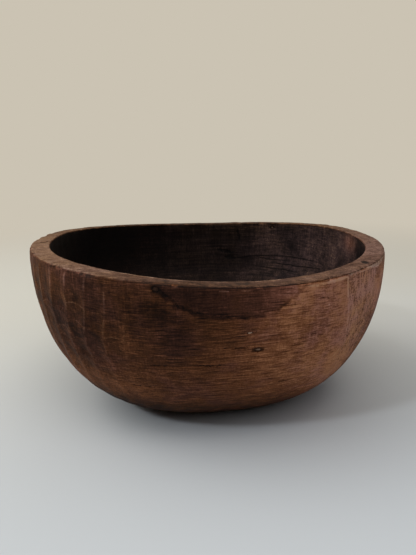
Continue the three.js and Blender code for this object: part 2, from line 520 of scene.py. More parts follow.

# Pale edges and flecks, in the same form: first the ridge and the lip of the flat at the right end. The lines
# along the ridge, the lip and the rim's edges are worn wood with painted highlights, those by the back rim
# knot inside are painted glints, and the smaller flecks are worn wood
WEAR_AND_HIGHLIGHT_LINES = {
    "outside": (
        (0.0014, ((-55.3, 0.0026), (-55, 0.0085), (-54.9, 0.0145), (-54.5, 0.0235))),
        (0.001, ((-69, 0.0036), (-64.5, 0.0042), (-61, 0.0037))),
        (0.0015, ((-62.5, 0.0038), (-59, 0.0035), (-55.3, 0.0032))),
        (0.0007, ((-54.5, 0.0235), (-53.6, 0.0378), (-52.3, 0.062))),
        (0.0008, ((-54.9, 0.0043), (-53.4, 0.0027), (-49.6, 0.0027), (-44.4, 0.0038), (-38.2, 0.006))),
        (0.0007, ((-93, 0.003), (-90.4, 0.0034))),
        (0.0007, ((-87.6, 0.0026), (-83.8, 0.0027))),
        (0.0006, ((-84.8, 0.0108), (-84.3, 0.0113))),
        (0.0006, ((-78.9, 0.0378), (-78.5, 0.0384))),
        (0.0006, ((-61.6, 0.0205), (-61, 0.0255))),
        (0.0008, ((-49.9, 0.033), (-49.5, 0.041))),
        (0.0006, ((-55.8, 0.08), (-53, 0.071))),
        (0.0006, ((-54.8, 0.085), (-52.2, 0.077))),
    ),
    "rim": (
        (0.0016, ((-126, 0.0171), (-117, 0.0168), (-108, 0.0164), (-98, 0.0161), (-72, 0.0162))),
    ),
    "inside": (
        (0.0013, ((56, 0.0016), (52.4, 0.002), (49.5, 0.0024))),
        (0.0015, ((50.5, 0.009), (46.7, 0.0072))),
    ),
}
LINE_STEPS = 6
LINE_END = 0.4
CRACK_JAG = 0.0015
CRACK_DEPTH = 0.0006
CRACK_EDGE = (0.3, 1.6)
JAG_CELL = 0.0004
JAG_POINTS = 5


def line_gap(grid, lines, jag=0.0):
    """Distance to the nearest of some lines, in half widths of that line."""
    nearest = np.full(grid.below.shape, FAR)
    for skin, skin_lines in lines.items():
        for half_width, places in skin_lines:
            gap = one_line_gap(grid, line_corners(skin, places, jag))
            nearest = np.minimum(nearest, gap / half_width)
    return nearest


def line_corners(skin, places, jag):
    """Points along a line. One with more places is more jagged."""
    steps = np.linspace(0, 1, LINE_STEPS * (len(places) - 1) + 1)
    known = np.linspace(0, 1, len(places))
    bearings, depths = (np.interp(steps, known, values) for values in zip(*places))
    corners = np.array([place_on(skin, bearing, depth) for bearing, depth in zip(bearings, depths)])
    cells = np.round(corners / JAG_CELL).astype(np.int64)
    shift = jag * (len(places) / JAG_POINTS) ** 2 * cell_noise(cells, SEEDS["jags"])
    return corners + vectors(0.0, 0.0, shift)


def one_line_gap(grid, corners):
    """Distance to a line, made larger towards the line's ends, where it tapers."""
    nearest = np.full(grid.below.shape, FAR)
    steps = np.linspace(0, 1, len(corners))
    for step, start, end in zip(steps, corners, corners[1:]):
        along = end - start
        share = np.clip((grid.points - start) @ along / (along @ along), 0, 1)
        away = np.linalg.norm(grid.points - start - share[..., None] * along, axis=-1)
        middle = math.sin(math.pi * min(step + 0.5 / len(steps), 1))
        nearest = np.minimum(nearest, away / (LINE_END + (1 - LINE_END) * math.sqrt(middle)))
    return nearest


# The dark outer layer on the front, half an ellipse hung from the rim
PATCH_CENTRE_X = 0.0015
PATCH_HALF_WIDTH = 0.056
PATCH_DEPTH = 0.0245
PATCH_NEAREST_Y = -0.13


def patch_border(grid):
    """Distance inside the border of the dark outer layer, about in metres."""
    across = (grid.points[..., 0] - PATCH_CENTRE_X) / PATCH_HALF_WIDTH
    share = np.hypot(across, np.clip(grid.below, 0, None) / PATCH_DEPTH)
    front = (grid.points[..., 1] < PATCH_NEAREST_Y) & np.isin(grid.zone, ("outside", "outer_edge"))
    return np.where(front, np.maximum(1 - share, -1) * PATCH_DEPTH, -PATCH_DEPTH)


# The pale band of the rim: how far it hangs over the lip at the right end, and a dent by the front knot
RIM_END_GRAIN = 0.6
NEAR_RIM = 0.01
LIP_BAND = 0.006
LIP_BAND_START = (-55.5, -54.5)
LIP_BAND_END = (-42, -26)
RIM_DENTS = ((-105, 8, 12, 0.0055),)


def rim_band(grid):
    """Distance in from the rim's worn edges."""
    lip = np.minimum(lip_depth(grid.bearing), LIP_BAND)
    lip = lip * ease(grid.bearing, *LIP_BAND_START) * (1 - ease(grid.bearing, *LIP_BAND_END))
    from_outer = grid.run - grid.edge_run("outer_edge") + lip - by_place(grid.angle[None, :], RIM_DENTS)
    from_inner = grid.edge_run("inner_edge") - grid.run
    return np.clip(np.minimum(from_outer, from_inner), -NEAR_RIM, NEAR_RIM)


def shaped_bowl():
    """The carved points, clipped to the box of the solids, and the masks that the wood reads."""
    grid = Grid()
    outside, masks = carve_outside(grid)
    right_end, right_cut = carve_right_end(grid)
    inside, inside_masks = carve_skin(grid, "inside", grid.arc, grid.down_inside, 1.0)
    sockets, knot_gap = carve_knots(grid)
    rim, chips = carve_rim(grid)
    crack = line_gap(grid, CRACKS, CRACK_JAG)
    depth = outside + right_end + inside + rim + sockets + CRACK_DEPTH * (1 - ease(crack, *CRACK_EDGE))
    points = grid.points - grid.normals * depth[..., None]
    low, high = (np.array(corner) for corner in cad_bounds)
    points = np.clip(points, low, high)
    tone, warmth = wood_tone(grid)
    masks["hollow"] = masks["hollow"] + inside_masks["hollow"]
    masks["facets"] = masks["facets"] + INSIDE_FACETS * inside_masks["facets"]
    masks |= {
        "inside": grid.is_zone("inside") * (1 - bare_wood(grid)),
        "end_grain": np.where(grid.is_zone("outside") > 0, np.abs(grid.normals[..., 0]), RIM_END_GRAIN),
        "rim_band": rim_band(grid),
        "knot_gap": knot_gap,
        "end_cut": right_cut,
        "chips": chips,
        "crack": crack,
        "wear_and_highlight_lines": line_gap(grid, WEAR_AND_HIGHLIGHT_LINES),
        "patch": patch_border(grid),
        "tone": tone,
        "warmth": warmth,
    }
    return grid, points, masks


# Broad places in the wood by skin: bearing, depth below the rim, spread round and down, tone and warmth. Most
# are the wood's own tone; the rows marked below paint shade or light
TONE_SPOTS = {
    "outside": (
        # Lighter at the right front (bearings -62, -47 and -50): the wood's paler tone, and partly painted
        # light
        (-62, 0.03, 23, 0.056, 0.37, 0.05),
        (-60, 0.042, 12, 0.034, -0.09, -0.25),
        (-47, 0.017, 10, 0.03, 0.32, -0.15),
        (-50, 0.096, 12, 0.038, 0.39, 0.1),
        # Darker low on the front near the floor: painted shade; the warmer hue is the wood's own
        (-78, 0.136, 34, 0.016, -0.33, 0.6),
        (-69, 0.008, 14, 0.012, 0.1, 0.1),
        (-73, 0.005, 5, 0.008, 0.22, -0.35),
        (-99, 0.005, 6, 0.008, -0.13, 0),
        (-57, 0.006, 4, 0.01, -0.09, 0),
        (-53.5, 0.009, 1.2, 0.012, -0.15, 0),
        # Paler at the right end's edge: painted light
        (-35, 0.025, 5, 0.028, 0.23, -0.08),
        (-72, 0.084, 14, 0.024, 0.13, 0.1),
        (-96, 0.032, 14, 0.012, -0.11, 0),
        (-153, 0.078, 10, 0.028, 0.09, 0.05),
        (-148, 0.004, 14, 0.008, 0, -0.4),
        (-160, 0.035, 16, 0.04, 0.03, 0.5),
        (-138, 0.035, 20, 0.045, -0.06, 0.05),
        (-133, 0.055, 10, 0.018, -0.1, -0.4),
        (-141, 0.041, 4, 0.009, -0.05, -0.2),
        (-130, 0.134, 20, 0.012, -0.24, 0.8),
        (-119, 0.056, 6, 0.012, 0.06, 0.4),
        (-112, 0.026, 8, 0.018, -0.15, 0.05),
        (-109, 0.02, 4, 0.009, -0.15, 0.1),
        (-103, 0.045, 5, 0.014, -0.15, -0.5),
        (-80, 0.064, 12, 0.016, 0.07, 0.25),
        (-134, 0.104, 24, 0.016, 0.15, 0.3),
        (-95, 0.085, 40, 0.045, 0.03, 0.25),
        (100, 0.02, 30, 0.03, -0.12, -0.4),
        (60, 0.06, 14, 0.04, 0.12, 0.2),
        (128, 0.075, 16, 0.03, 0.1, 0.3),
        (80, 0.105, 24, 0.025, -0.1, -0.2),
        (15, 0.04, 20, 0.045, 0.12, -0.3),
        (-18, 0.085, 16, 0.03, 0.1, 0.3),
        (165, 0.05, 16, 0.04, -0.08, -0.3),
    ),
    "rim": (
        (-92, 0, 24, 0.02, -0.28, 0),
        (-158, 0, 30, 0.02, 0.1, 0),
        (-52, 0, 7, 0.02, -0.09, 0),
        (-25, 0, 28, 0.02, 0.03, -0.45),
        # The back rim darker: painted shade
        (90, 0, 75, 0.02, -0.33, 0.7),
    ),
    "inside": (
        (30, 0.034, 38, 0.06, 0.27, -0.3),
        (52, 0.018, 10, 0.018, 0.06, 0.1),
        (72, 0.012, 12, 0.02, 0, 0.3),
        (86, 0.056, 25, 0.014, -0.09, 0.15),
        # Darker inside at the back left: painted shade
        (145, 0.022, 34, 0.032, -0.38, 0),
        (-90, 0.125, 400, 0.035, 0.11, 0.2),
        (70, 0.003, 55, 0.008, 0.08, 0.2),
        (-2, 0.014, 14, 0.02, 0.22, -0.2),
        (-4, 0.009, 5, 0.009, 0, 0.2),
        (-14, 0.017, 5, 0.01, -0.3, -0.2),
        (37.5, 0.033, 4, 0.009, -0.12, 0),
    ),
}

# Inside at the right end the dark stain has worn off: bearing, depth below the rim, and spread round and down
BARE_BEARING = -4
BARE_BELOW = 0.010
BARE_SPREAD = 5
BARE_SPREAD_DOWN = 0.009
BARE_SHARE = 0.6


def bare_wood(grid):
    round_share = bell(grid.bearing - BARE_BEARING, BARE_SPREAD)
    return BARE_SHARE * round_share * bell(grid.below - BARE_BELOW, BARE_SPREAD_DOWN)


# A darker stain inside at the back right, with a sharp edge at one bearing and soft ends
STAIN_EDGE = (43.3, 44.5)
STAIN_END = (18, 38.9)
STAIN_FADE = (0.0276, 0.046)
STAIN_TONE = 0.065


def wood_tone(grid):
    """Lighter or darker, and warmer or cooler, than the wood is elsewhere."""
    tone = 0 * grid.below
    warmth = 0 * grid.below
    zones = {"outside": ("outside",), "rim": RIM_ZONES, "inside": ("inside",)}
    for skin, spots in TONE_SPOTS.items():
        on_skin = grid.is_zone(*zones[skin])
        for bearing, below, spread, spread_down, lighter, warmer in spots:
            away = (grid.bearing - bearing + 180) % 360 - 180
            share = on_skin * bell(away, spread) * bell(grid.below - below, spread_down)
            tone = tone + lighter * share
            warmth = warmth + warmer * share
    stain = ease(grid.bearing, *STAIN_END) * (1 - ease(grid.bearing, *STAIN_EDGE))
    stain = stain * (1 - ease(grid.below, *STAIN_FADE)) * grid.is_zone("inside")
    return tone - STAIN_TONE * stain, warmth


def new_object(name, verts, faces, smooth=True):
    mesh = bpy.data.meshes.new(name)
    mesh.from_pydata(verts, [], faces)
    mesh.polygons.foreach_set("use_smooth", np.full(len(mesh.polygons), smooth))
    made = bpy.data.objects.new(name, mesh)
    bpy.context.collection.objects.link(made)
    return made


def build_bowl():
    grid, points, masks = shaped_bowl()
    rows, columns = points.shape[:2]
    middle_low, middle_high = rows * columns, rows * columns + 1
    floor_height = points[-1, :, 2].mean()
    verts = np.concatenate((points.reshape(-1, 3), ((0, 0, 0), (0, 0, floor_height))))
    index = np.arange(rows * columns).reshape(rows, columns)
    right = np.roll(index, -1, axis=1)
    quads = np.stack((index[:-1], right[:-1], right[1:], index[1:]), axis=-1).reshape(-1, 4)
    bottom = np.stack((right[0], index[0], np.full(columns, middle_low)), axis=-1)
    floor = np.stack((index[-1], right[-1], np.full(columns, middle_high)), axis=-1)
    bowl = new_object("carved_bowl", verts.tolist(), quads.tolist() + bottom.tolist() + floor.tolist())
    for name, mask in masks.items():
        values = np.concatenate((mask.reshape(-1), (mask[0].mean(), mask[-1].mean())))
        layer = bowl.data.attributes.new(name, "FLOAT", "POINT")
        layer.data.foreach_set("value", values.astype(np.float32))
    unwrap(bowl.data, grid)
    bowl.data.validate()
    return bowl


def unwrap(mesh, grid):
    """Flat map for baking: round the bowl from left to right, and along the section from bottom to top."""
    rows, columns = grid.height.shape
    across = np.arange(columns + 1) / columns
    up = grid.run.mean(axis=1)
    up = BAKE_MARGIN + (1 - 2 * BAKE_MARGIN) * up / up[-1]
    column = np.arange(columns)
    low = np.repeat(np.arange(rows - 1), columns)
    left = np.tile(column, rows - 1)
    quads = np.stack((across[left], up[low], across[left + 1], up[low],
                      across[left + 1], up[low + 1], across[left], up[low + 1]), axis=-1)
    middle = (across[column] + across[column + 1]) / 2
    first, last = np.full(columns, up[0]), np.full(columns, up[-1])
    bottom = np.stack((across[column + 1], first, across[column], first, middle, 0 * middle), axis=-1)
    floor = np.stack((across[column], last, across[column + 1], last, middle, 0 * middle + 1), axis=-1)
    layer = mesh.uv_layers.new(name="OFBake")
    flat = np.concatenate([part.reshape(-1) for part in (quads, bottom, floor)])
    layer.data.foreach_set("uv", flat.astype(np.float32))


# Knots

KNOT_RINGS = 10
KNOT_SIDES = 44
KNOT_SINK = 0.0006
KNOT_LENGTH = 0.006
KNOT_STUB = 0.72
KNOT_LOBES = 1.8
KNOT_OUT_OF_ROUND = 0.14
KNOT_BUMPS = 3.6
LOBE_STEP = 3.7

# Rises of a knot's head, as shares of its half height, and how far the core spreads
CORE_RISE = 0.18
CORE_SPREAD = 0.4
MIDDLE_RISE = 0.2
BUMP_RISE = 0.12
EDGE_DROP = 0.3


def wall_normal(skin, bearing, below):
    step = 0.2
    around_step = place_on(skin, bearing + step, below) - place_on(skin, bearing - step, below)
    down_step = place_on(skin, bearing, below + MM) - place_on(skin, bearing, below - MM)
    normal = np.cross(down_step, around_step)
    return normal / np.linalg.norm(normal) * (1 if skin == "outside" else -1)


def knot_spokes(outwards, half_long, half_high, slant, turns):
    """Vectors from a knot's middle to its outline."""
    sideways = np.cross((0, 0, 1), outwards)
    sideways = sideways / np.linalg.norm(sideways)
    upwards = np.cross(outwards, sideways)
    lean = math.radians(slant)
    long_way = half_long * (math.cos(lean) * sideways + math.sin(lean) * upwards)
    short_way = half_high * (math.cos(lean) * upwards - math.sin(lean) * sideways)
    return np.cos(turns)[:, None] * long_way + np.sin(turns)[:, None] * short_way


def build_knot(node, skin, bearing, below, half_long, half_high, slant, seed):
    """A dead knot: a bumpy head, longer along the grain, with a raised core, and a stub in its socket."""
    place = place_on(skin, bearing, below)
    outwards = wall_normal(skin, bearing, below)
    turns = np.arange(KNOT_SIDES) * TURN / KNOT_SIDES
    lobes = vectors(np.cos(turns), np.sin(turns), seed * LOBE_STEP)
    spokes = knot_spokes(outwards, half_long, half_high, slant, turns)
    spokes = spokes * (1 + KNOT_OUT_OF_ROUND * smooth_noise(lobes * KNOT_LOBES, seed))[:, None]
    rings = []
    for share in np.arange(1, KNOT_RINGS + 1) / KNOT_RINGS:
        bumps = BUMP_RISE * smooth_noise(lobes * share * KNOT_BUMPS, seed + 5)
        rise = half_high * (CORE_RISE * bell(share, CORE_SPREAD) + bumps - EDGE_DROP * share**6) - KNOT_SINK
        rings.append(place + spokes * share + outwards * rise[:, None])
    stub = place + spokes * KNOT_STUB - outwards * KNOT_LENGTH
    core = place - outwards * (KNOT_SINK - MIDDLE_RISE * half_high)
    tip = place - outwards * KNOT_LENGTH
    verts = np.concatenate((*rings, stub, (core, tip)))
    core_index, tip_index = len(verts) - 2, len(verts) - 1
    faces = []
    for side in range(KNOT_SIDES):
        after = (side + 1) % KNOT_SIDES
        faces.append((core_index, side, after))
        for ring in range(KNOT_RINGS):
            low, high = ring * KNOT_SIDES, (ring + 1) * KNOT_SIDES
            faces.append((low + side, high + side, high + after, low + after))
        last = KNOT_RINGS * KNOT_SIDES
        faces.append((last + side, tip_index, last + after))
    return new_object(node + "_wood", verts.tolist(), faces)


# Node helpers


def put(kind, inputs=(), tree=None, **settings):
    """A node with its settings and inputs, in the tree that the inputs come from or in a given one."""
    inputs = dict(inputs)
    tree = tree or next(value.id_data for value in inputs.values() if isinstance(value, bpy.types.NodeSocket))
    node = tree.nodes.new("ShaderNode" + kind)
    for name, value in settings.items():
        setattr(node, name, value)
    for key, value in inputs.items():
        if isinstance(value, bpy.types.NodeSocket):
            tree.links.new(value, node.inputs[key])
        else:
            node.inputs[key].default_value = value
    return node


def calc(operation, first, second=0.0, third=0.0):
    return put("Math", {0: first, 1: second, 2: third}, operation=operation).outputs[0]


def soft_step(value, low, high, to_low=0.0, to_high=1.0):
    sockets = {"Value": value, "From Min": low, "From Max": high, "To Min": to_low, "To Max": to_high}
    return put("MapRange", sockets, interpolation_type="SMOOTHSTEP").outputs[0]


def blend(share, first, second, mode="MIX"):
    node = put("Mix", {0: share, 6: first, 7: second}, data_type="RGBA", blend_type=mode)
    return node.outputs[2]


def stretched(place, scale):
    return put("VectorMath", {0: place, 1: scale}, operation="MULTIPLY").outputs[0]


def noise(place, scale=1.0, detail=2.0, roughness=0.5):
    sockets = {"Vector": place, "Scale": scale, "Detail": detail, "Roughness": roughness}
    return put("TexNoise", sockets).outputs[0]


def mask(tree, name):
    return put("Attribute", tree=tree, attribute_name=name).outputs["Fac"]


def shade(red, green, blue):
    """A colour as a screen shows it, 0 to 255, as the values that a shader takes."""
    parts = (part / 255 for part in (red, green, blue))
    return (*(part / 12.92 if part < 0.04045 else ((part + 0.055) / 1.055) ** 2.4 for part in parts), 1.0)


def ramp(value, stops):
    """A colour for a value from 0 to 1, by colours at even steps."""
    node = put("ValToRGB", {0: value})
    elements = node.color_ramp.elements
    while len(elements) < len(stops):
        elements.new(0.5)
    for step, (element, colour) in enumerate(zip(elements, stops)):
        element.position = step / (len(stops) - 1)
        element.color = shade(*colour)
    return node.outputs[0]


def new_material(name):
    material = bpy.data.materials.new(name)
    material.use_nodes = True
    tree = material.node_tree
    return material, tree, tree.nodes["Principled BSDF"]


def times(first, second):
    return calc("MULTIPLY", first, second)


def larger(first, second):
    return calc("MAXIMUM", first, second)


def add_share(value, share, amount):
    return calc("MULTIPLY_ADD", share, amount, value)


def add_shares(value, marks, amounts):
    for name, amount in amounts.items():
        value = add_share(value, marks[name], amount)
    return value


def centred(value, gain, base):
    """Adds a noise to a base, with the noise's middle taken as nothing."""
    return add_share(base, calc("SUBTRACT", value, 0.5), gain)


def ragged(value, place, amount, scale, detail=3.0, roughness=0.5):
    """A distance made uneven by a noise."""
    return centred(noise(place, scale, detail, roughness), amount, value)


def broken(place, scale, low, high, least=0.0, detail=3.0):
    """A mask that comes and goes, from least to 1: a noise, cut off softly between two levels."""
    return soft_step(noise(place, scale, detail), low, high, least)


def line_at(value, middle, half_width, core):
    """A line where a value is near its middle, whole within the core."""
    gap = calc("ABSOLUTE", calc("SUBTRACT", value, middle))
    return soft_step(gap, half_width, core)


def length(vector):
    return put("VectorMath", {0: vector}, operation="LENGTH").outputs["Value"]


def scaled_distance(place, middle, halves):
    """Distance from a middle, in half sizes along each axis."""
    offset = put("VectorMath", {0: place, 1: middle}, operation="SUBTRACT").outputs[0]
    return length(stretched(offset, tuple(1 / half for half in halves)))


# Wood: colours from dark to pale, as a screen shows them

WOOD_STOPS = ((17, 9, 6), (42, 24, 15), (75, 46, 30), (118, 75, 54), (170, 121, 95))
RIM_STOPS = ((24, 15, 10), (62, 41, 30), (100, 74, 58), (140, 112, 92), (190, 161, 138))
# Inside: the dark stain, made darker still as painted shade
STAINED_AND_SHADED_STOPS = ((4, 2, 2), (15, 9, 8), (36, 27, 24), (74, 57, 50), (125, 98, 80))
COOL_TINT = (1.00, 0.95, 1.13, 1.0)
WARM_TINT = (1.07, 0.99, 0.77, 1.0)
WOOD_GLOSS = 0.06

# Noises in the wood: the place they read, bumps per metre along X, Y and Z, detail and roughness
WOOD_NOISES = {
    "layers": ("grain", (4, 80, 7), 4, 0.6),
    "streaks": ("grain", (17, 110, 440), 4, 0.66),
    "fibres": ("grain", (60, 300, 1300), 3, 0.7),
    "speckle": ("grain", (150, 640, 640), 4, 0.7),
    "scrapes": ("surface", (400, 400, 26), 3, 0.65),
    "ribs": ("surface", (290, 290, 8), 2, 0.5),
    "scratches": ("surface", (800, 800, 60), 2, 0.6),
    "blotches": ("surface", (24, 24, 24), 4, 0.6),
    "mottle": ("surface", (110, 110, 110), 3, 0.6),
    "specks": ("surface", (700, 700, 700), 3, 0.75),
    "hues": ("surface", (40, 40, 40), 5, 0.62),
}

# Where the outer wood lies on its colour ramp, and how far noises, all over and by marks, and marks move it
OUTER_MIDDLE = 0.51
OUTER_NOISES = {
    "layers": (0.21, {}),
    "ribs": (0.0, {"end_cut": 0.4}),
    "blotches": (0.23, {"end_cut": 0.35}),
    "mottle": (0.19, {"end_grain": 0.30, "dark_tone": 2.6, "end_cut": 0.12}),
    "specks": (0.52, {"end_cut": 0.8}),
    "scratches": (0.12, {"end_grain": 0.63, "end_cut": 0.75}),
    "speckle": (0.0, {"worn": 1.25}),
}
LENGTHWISE_NOISES = {
    "streaks": (0.38, {"patch": -0.14}),
    "fibres": (1.2, {"patch": -0.4}),
}
SCRAPING = (0.08, {"end_grain": 0.62})
# hollow darkens the gouge hollows as painted shade; ridges, flecks and pale_edge are worn wood with painted
# highlights
OUTER_MARKS = {
    "hollow": -0.13, "facets": 0.05, "end_cut": -0.03, "ridges": 0.12, "flecks": 0.33, "pale_edge": 0.18,
    "dark_edge": -0.09, "knot_edge": -0.44, "patch": -0.20, "border": -0.24, "cracks": -0.36, "pores": -0.24,
    "checks": -0.34,
}
CHIP_TONES = (-0.22, 0.26)
# Share of the rim's colours on the pale ridges and flecks, which are worn and partly painted highlights
WEAR_AND_HIGHLIGHT_SHARE = 0.45
FLAT_RUBBED = 0.15

# The same for the wood inside: its dark stain, made darker still as painted shade
INNER_MIDDLE = 0.40
INNER_NOISES = {
    "blotches": 0.2, "mottle": 0.35, "scrapes": 0.3, "streaks": 0.7, "specks": 0.6, "scratches": 0.3,
}
# hollow darkens the gouge hollows inside as painted shade
INNER_MARKS = {
    "facets": 0.13, "hollow": -0.06, "knot_edge": -0.3, "flecks": 0.30, "cracks": -0.35, "dark_lines": -0.34,
}

# Cooler and warmer wood: how far its noises go, and the marks that are cooler or warmer
HUE_MIDDLE = 0.5
HUE_CHANGE = (2.8, {"inside": -1.9, "worn": -1.9})
HUE_STREAKS = 0.6
HUE_MARKS = {"patch": -0.55, "facets": 0.08}

# The bump of the surface, and its roughness
BUMP_MARKS = {"pores": -0.7, "cracks": -1.2}
BUMP_STREAKS = 0.8
BUMP_FIBRES = 0.35
ROUGHNESS = 0.5
ROUGHNESS_CHANGE = 0.3

GRAIN_SWAY = (0.0, 0.016, 0.012)
SWAY_BUMPS = (5, 9, 9)
PORE_CELLS = (36, 150, 560)
PORE_CROWDS = (14, 60, 40)
CHECK_CELLS = (17, 55, 175)


def grain_place(place):
    """The place in the wood, swayed so that the grain isn't quite straight."""
    sockets = {"Vector": stretched(place, SWAY_BUMPS), "Scale": 1.0, "Detail": 2.0}
    sway = put("TexNoise", sockets).outputs["Color"]
    sway = put("VectorMath", {0: sway, 1: (0.5, 0.5, 0.5)}, operation="SUBTRACT").outputs[0]
    sway = stretched(sway, GRAIN_SWAY)
    return put("VectorMath", {0: place, 1: sway}, operation="ADD").outputs[0]


def wood_pores(grain):
    cells = put("TexVoronoi", {"Vector": stretched(grain, PORE_CELLS), "Scale": 1.0})
    pores = soft_step(cells.outputs["Distance"], 0.34, 0.14)
    return times(pores, broken(stretched(grain, PORE_CROWDS), 1.0, 0.40, 0.60))


def wood_checks(grain):
    """Short dark cracks along the grain, in some of the cells."""
    cells = put("TexVoronoi", {"Vector": stretched(grain, CHECK_CELLS), "Scale": 1.0})
    chosen = soft_step(put("SeparateXYZ", {0: cells.outputs["Color"]}).outputs[0], 0.55, 0.58)
    return times(soft_step(cells.outputs["Distance"], 0.19, 0.07), chosen)


# Half widths of the pale lines on ridges and stroke ends, worn and partly painted highlights: whole within
# the first, gone beyond the second
RIDGE_LINE = (0.0001, 0.0015)
STROKE_END_LINE = (0.0002, 0.0009)


def wear_and_highlight_edges(tree, place):
    """Pale lines on the ridges between gouge strokes and at the ends of the strokes, and the other pale lines
    and flecks: wear, and painted highlights.
    """
    ridge = times(calc("PINGPONG", mask(tree, "lane"), 0.5), GOUGES["outside"]["width"])
    end = times(calc("PINGPONG", mask(tree, "stroke"), 0.5), GOUGES["outside"]["length"])
    started = soft_step(mask(tree, "stroke"), -0.4, -0.3)
    started = times(started, soft_step(mask(tree, "facets"), -0.7, 0.1))
    ridge = soft_step(ridge, *RIDGE_LINE[::-1])
    end = times(soft_step(end, *STROKE_END_LINE[::-1]), started)
    ridges = times(larger(ridge, end), mask(tree, "carved"))
    ridges = times(ridges, broken(place, 75.0, 0.38, 0.58, 0.15))
    return ridges, soft_step(ragged(mask(tree, "wear_and_highlight_lines"), place, 1.6, 400.0), 1.4, 0.3)


def crack_lines(tree, place):
    """Cracks, broken along their way on the outside only."""
    whole = larger(mask(tree, "inside"), soft_step(mask(tree, "rim_band"), -0.001, 0.001))
    whole = larger(whole, broken(place, 190.0, 0.40, 0.54, 0.25, 2.0))
    gap = ragged(mask(tree, "crack"), place, 4.2, 420.0, 4.0, 0.7)
    return times(soft_step(gap, 1.7, 0.5), whole)


# Dark lines along the grain inside: middle X and Z, slope, bend per metre, half length and half width
DARK_LINES = (
    (0.100, 0.1174, 0.065, -0.95, 0.060, 0.0013),
    (0.107, 0.1123, -0.032, 5.2, 0.025, 0.0009),
    (0.111, 0.1001, -0.040, 0.15, 0.026, 0.0013),
    (0.131, 0.1070, 0.063, 4.2, 0.024, 0.0012),
)
LINE_WAVER = 0.0030
BACK_WALL_Y = (0.0, 0.02)

# A slit in the rim, at the right: its middle, its half sizes and how dark it is
SLIT_PLACE = (0.1262, -0.1206, 0.157)
SLIT_HALF = (0.0036, 0.0052, 0.01)
SLIT_DARKNESS = 1.4


def dark_lines(place):
    """Arcs drawn by the grain on the inside of the back wall."""
    split = put("SeparateXYZ", {0: place})
    height = ragged(split.outputs["Z"], place, LINE_WAVER, 70.0)
    lines = 0.0
    for middle_x, middle_z, slope, bend, half_length, half_width in DARK_LINES:
        along = calc("SUBTRACT", split.outputs["X"], middle_x)
        lean = add_share(slope, along, bend)
        line = line_at(height, add_share(middle_z, lean, along), half_width, 0.3 * half_width)
        ends = line_at(along, 0.0, half_length, 0.6 * half_length)
        lines = larger(lines, times(line, ends))
    lines = times(lines, soft_step(split.outputs["Y"], *BACK_WALL_Y))
    return times(lines, broken(place, 120.0, 0.25, 0.5, 0.4, 2.0))


def rim_slit(place):
    away = ragged(scaled_distance(place, SLIT_PLACE, SLIT_HALF), place, 0.8, 500.0)
    return soft_step(away, 1.0, 0.6, 0.0, SLIT_DARKNESS)


# The rim's ragged edge: its noise, how far chips move it, and the middle and half widths of lines along it
RIM_RAGGED = 0.0038
RIM_CHIPPED = -0.0020
RIM_EDGE_STEP = (-0.0010, 0.0011)
PALE_LINE = (0.0003, 0.0010, 0.0002)
DARK_LINE = (-0.0013, 0.0011, 0.0002)


def rim_edges(tree, place):
    """The worn pale rim with its ragged edge, a pale line broken along that edge, worn and partly a painted
    highlight, and a dark line below it.
    """
    edge = add_share(mask(tree, "rim_band"), mask(tree, "chips"), RIM_CHIPPED)
    edge = ragged(edge, place, RIM_RAGGED, 240.0, 4.0, 0.7)
    pale = times(line_at(edge, *PALE_LINE), broken(place, 150.0, 0.50, 0.66))
    dark = times(line_at(edge, *DARK_LINE), broken(place, 110.0, 0.46, 0.60))
    return soft_step(edge, *RIM_EDGE_STEP), pale, dark


# The dark layer's ragged border: its noise, its soft step, and the middle and half widths of its line
PATCH_RAGGED = 0.012
PATCH_STEP = (-0.0030, 0.0035)
PATCH_LINE = (0.0, 0.0024, 0.0002)


def outer_patch(tree, place):
    """The dark layer on the front, and the ragged line along its border."""
    border = ragged(mask(tree, "patch"), place, PATCH_RAGGED, 95.0, 5.0, 0.6)
    line = times(line_at(border, *PATCH_LINE), broken(place, 85.0, 0.42, 0.58, 0.4))
    return soft_step(border, *PATCH_STEP), line


def wood_noises(place, grain):
    sources = {"surface": place, "grain": grain}
    noises = {}
    for name, (source, bumps, detail, roughness) in WOOD_NOISES.items():
        noises[name] = noise(stretched(sources[source], bumps), 1.0, detail, roughness)
    return noises


def wood_marks(tree, place, grain):
    """Masks of what is lighter, darker, rougher or of another hue than the wood around it."""
    plain = ("hollow", "facets", "end_cut", "end_grain", "inside", "chips", "tone", "warmth")
    marks = {name: mask(tree, name) for name in plain}
    marks["dark_tone"] = larger(times(marks["tone"], -1.0), 0.0)
    marks["ridges"], marks["flecks"] = wear_and_highlight_edges(tree, place)
    marks["cracks"] = larger(crack_lines(tree, place), rim_slit(place))
    marks["patch"], marks["border"] = outer_patch(tree, place)
    marks["worn"], marks["pale_edge"], marks["dark_edge"] = rim_edges(tree, place)
    knot_gap = ragged(mask(tree, "knot_gap"), place, 1.8, 420.0, 3.0, 0.65)
    marks["knot_edge"] = soft_step(knot_gap, 1.9, 1.0)
    sidelong = soft_step(marks["end_grain"], 0.15, 0.55, 1.0, 0.0)
    marks["pores"] = times(wood_pores(grain), sidelong)
    marks["checks"] = times(wood_checks(grain), sidelong)
    marks["dark_lines"] = dark_lines(place)
    return marks


